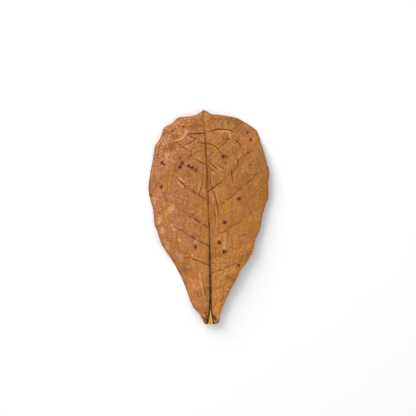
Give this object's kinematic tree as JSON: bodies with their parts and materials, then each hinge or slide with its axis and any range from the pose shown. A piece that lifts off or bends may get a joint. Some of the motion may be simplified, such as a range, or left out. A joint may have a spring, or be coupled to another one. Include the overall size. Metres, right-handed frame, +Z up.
{
  "type": "indian almond leaf",
  "caption": "Dried broad leaf that lies flat and low-arched, with a waved margin, a raised midrib beneath and side veins with a fine net, for tanks, craft and display.",
  "frame": {"origin": "on the surface that the leaf lies on, under the middle of its bounding box", "axes": "+Y from the cut stub to the leaf's tip, +X to the right across the blade seen from above, +Z up"},
  "size_m": [0.1018, 0.18, 0.0134],
  "materials": {
    "dry_leaf": "satin"
  },
  "bodies": {
    "root": {"leaf": "dry_leaf"}
  },
  "joints": []
}
